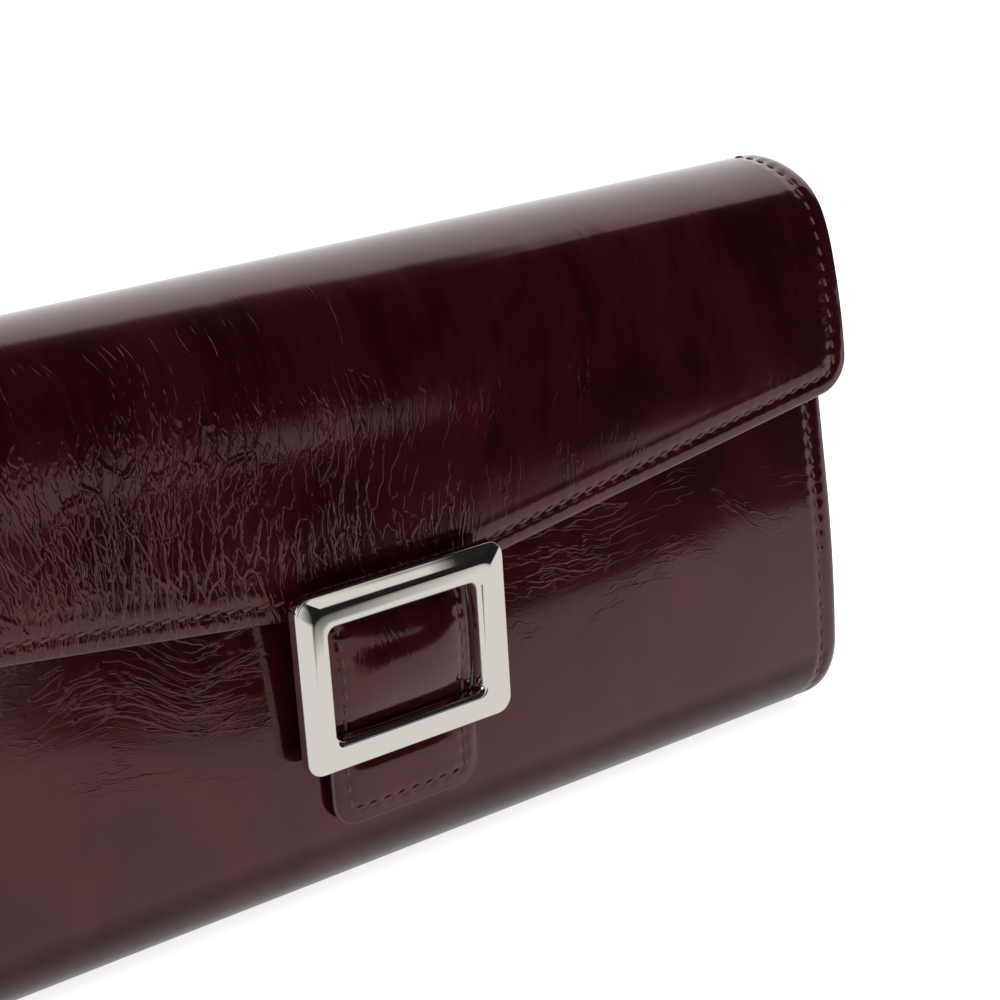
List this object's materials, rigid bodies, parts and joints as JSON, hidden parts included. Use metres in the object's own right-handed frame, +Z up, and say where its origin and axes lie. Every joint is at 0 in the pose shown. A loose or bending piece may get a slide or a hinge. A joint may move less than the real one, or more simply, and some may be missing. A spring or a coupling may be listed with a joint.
{
  "type": "long wallet",
  "caption": "Long flap wallet in glossy creased leather, with a square metal buckle on its closing tab, card slots and a zipped coin pocket inside.",
  "frame": {"origin": "bottom centre of the whole object's bounding box", "axes": "+X along the width to the right as seen from the front, +Y from the front to the back, +Z up"},
  "size_m": [0.194, 0.035, 0.099],
  "materials": {
    "outer_leather": "glossy crinkled patent leather, dark burgundy",
    "lining_leather": "smooth matt leather, burgundy",
    "board": "plain stiffener sheet, hidden inside",
    "polished_metal": "polished pale nickel plate",
    "zip_metal": "satin nickel plate",
    "zip_tape": "woven tape, dark burgundy"
  },
  "bodies": {
    "back": {"back_board": "board", "back_card_slot_1": "lining_leather", "back_card_slot_2": "lining_leather", "back_card_slot_3": "lining_leather", "back_card_slot_4": "lining_leather", "back_leather": "outer_leather", "back_lining": "lining_leather", "base_leather": "outer_leather", "base_lining": "lining_leather", "gusset_left": "lining_leather", "gusset_right": "lining_leather"},
    "spine": {"spine_board": "board", "spine_leather": "outer_leather", "spine_lining": "lining_leather"},
    "flap": {"buckle_frame": "polished_metal", "buckle_post_1": "polished_metal", "buckle_post_2": "polished_metal", "buckle_post_3": "polished_metal", "buckle_post_4": "polished_metal", "flap_board": "board", "flap_leather": "outer_leather", "flap_lining": "lining_leather", "snap_socket": "polished_metal", "tab_backing": "lining_leather", "tab_leather": "outer_leather"},
    "front": {"front_board": "board", "front_card_slot_1": "lining_leather", "front_card_slot_2": "lining_leather", "front_card_slot_3": "lining_leather", "front_leather": "outer_leather", "front_lining": "lining_leather", "snap_stud": "polished_metal"},
    "middle": {"coin_pocket_back": "lining_leather", "coin_pocket_end_left": "lining_leather", "coin_pocket_end_right": "lining_leather", "coin_pocket_front": "lining_leather", "coin_pocket_seam_strip": "lining_leather", "zip_stop_left": "zip_metal", "zip_stop_right": "zip_metal", "zip_tape_back": "zip_tape", "zip_tape_front": "zip_tape", "zip_teeth_back": "zip_metal", "zip_teeth_front": "zip_metal"},
    "zip_slider": {"zip_slider": "zip_metal"},
    "zip_pull": {"zip_pull": "zip_metal"}
  },
  "joints": [
    {"name": "spine_hinge", "type": "hinge", "parent": "back", "child": "spine", "pos_m": [0, 0.01516, 0.09652], "axis": [-1, 0, 0], "range_deg": [0, 95]},
    {"name": "flap_hinge", "type": "hinge", "parent": "spine", "child": "flap", "pos_m": [0, -0.00546, 0.09409], "axis": [-1, 0, 0], "range_deg": [0, 85]},
    {"name": "front_lean", "type": "hinge", "parent": "back", "child": "front", "pos_m": [0, -0.0123, 0.014], "axis": [1, 0, 0], "range_deg": [0, 10], "deforming": ["gusset_left", "gusset_right"]},
    {"name": "middle_lean", "type": "hinge", "parent": "back", "child": "middle", "pos_m": [0, -0.0123, 0.014], "axis": [1, 0, 0], "range_deg": [0, 5]},
    {"name": "zip_slide", "type": "slide", "parent": "middle", "child": "zip_slider", "axis": [-1, 0, 0], "range_m": [0, 0.147]},
    {"name": "pull_swing", "type": "hinge", "parent": "zip_slider", "child": "zip_pull", "pos_m": [0.0735, 0.0044, 0.07775], "axis": [0, 1, 0], "range_deg": [0, 160]}
  ],
  "couplings": [
    {"joint": "front_lean", "follows": "spine_hinge", "ratio": 0.105},
    {"joint": "middle_lean", "follows": "spine_hinge", "ratio": 0.0525}
  ]
}
